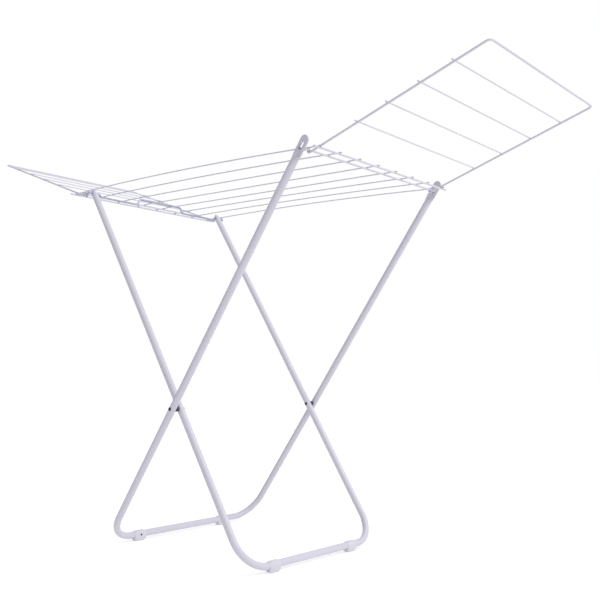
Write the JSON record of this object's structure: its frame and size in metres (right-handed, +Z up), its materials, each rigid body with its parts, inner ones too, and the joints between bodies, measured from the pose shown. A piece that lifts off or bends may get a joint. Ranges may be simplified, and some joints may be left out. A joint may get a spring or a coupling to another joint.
{
  "type": "clothes drying rack",
  "caption": "Folding clothes drying rack: crossed bent-tube legs, a platform of thin parallel rods, and a wire wing hooked on at each end, raised a little above level.",
  "frame": {"origin": "on the floor, at the centre of the overall outline", "axes": "+X towards the right wing, +Y from the near legs to the far legs, +Z up"},
  "size_m": [1.7282, 0.585, 1.1228],
  "materials": {
    "powder_coat": "smooth white powder coat, semi-gloss",
    "galvanised": "bluish galvanised wire, satin",
    "foot_plastic": "off-white moulded plastic",
    "dark_plastic": "dark grey moulded plastic",
    "dark_steel": "dark blackened steel, satin"
  },
  "bodies": {
    "outer_leg": {"outer_leg_frame": "powder_coat", "outer_foot_near": "foot_plastic", "outer_foot_far": "foot_plastic", "outer_foot_screw_near": "dark_steel", "outer_foot_screw_far": "dark_steel", "pivot_rivet_near": "dark_steel", "pivot_rivet_far": "dark_steel", "pivot_spacer_near": "dark_plastic", "pivot_spacer_far": "dark_plastic"},
    "inner_leg": {"inner_leg_frame": "powder_coat", "inner_foot_near": "foot_plastic", "inner_foot_far": "foot_plastic", "inner_foot_screw_near": "dark_steel", "inner_foot_screw_far": "dark_steel"},
    "platform": {"platform_rod_1": "powder_coat", "platform_rod_2": "powder_coat", "platform_rod_3": "powder_coat", "platform_rod_4": "powder_coat", "platform_rod_5": "powder_coat", "platform_rod_6": "powder_coat", "platform_rod_7": "powder_coat", "platform_rod_8": "powder_coat", "left_outer_bar": "powder_coat", "left_inner_bar": "powder_coat", "right_inner_bar": "powder_coat", "right_outer_bar": "powder_coat", "hinge_axle_near": "galvanised", "hinge_axle_far": "galvanised"},
    "cross_wire": {"cross_wire": "galvanised"},
    "right_wing": {"right_wing_frame": "powder_coat", "right_wing_rod_1": "powder_coat", "right_wing_rod_2": "powder_coat", "right_wing_rod_3": "powder_coat", "right_wing_rod_4": "powder_coat"},
    "left_wing": {"left_wing_frame": "powder_coat", "left_wing_rod_1": "powder_coat", "left_wing_rod_2": "powder_coat", "left_wing_rod_3": "powder_coat", "left_wing_rod_4": "powder_coat"}
  },
  "joints": [
    {"name": "leg_scissor", "type": "hinge", "parent": "outer_leg", "child": "inner_leg", "pos_m": [0.0115, 0, 0.37553], "axis": [0, 1, 0], "range_deg": [0, 62]},
    {"name": "platform_hinge", "type": "hinge", "parent": "outer_leg", "child": "platform", "pos_m": [0.416, 0, 0.97235], "axis": [0, 1, 0], "range_deg": [0, 31]},
    {"name": "cross_wire_swivel", "type": "hinge", "parent": "inner_leg", "child": "cross_wire", "pos_m": [-0.393, 0, 0.97235], "axis": [0, 1, 0], "range_deg": [-31, 0]},
    {"name": "right_wing_hinge", "type": "hinge", "parent": "platform", "child": "right_wing", "pos_m": [0.422, 0, 0.97265], "axis": [0, -1, 0], "range_deg": [0, 155]},
    {"name": "left_wing_hinge", "type": "hinge", "parent": "platform", "child": "left_wing", "pos_m": [-0.422, 0, 0.97265], "axis": [0, 1, 0], "range_deg": [0, 150]}
  ],
  "couplings": [
    {"joint": "platform_hinge", "follows": "leg_scissor", "ratio": 0.5},
    {"joint": "cross_wire_swivel", "follows": "leg_scissor", "ratio": -0.5}
  ]
}
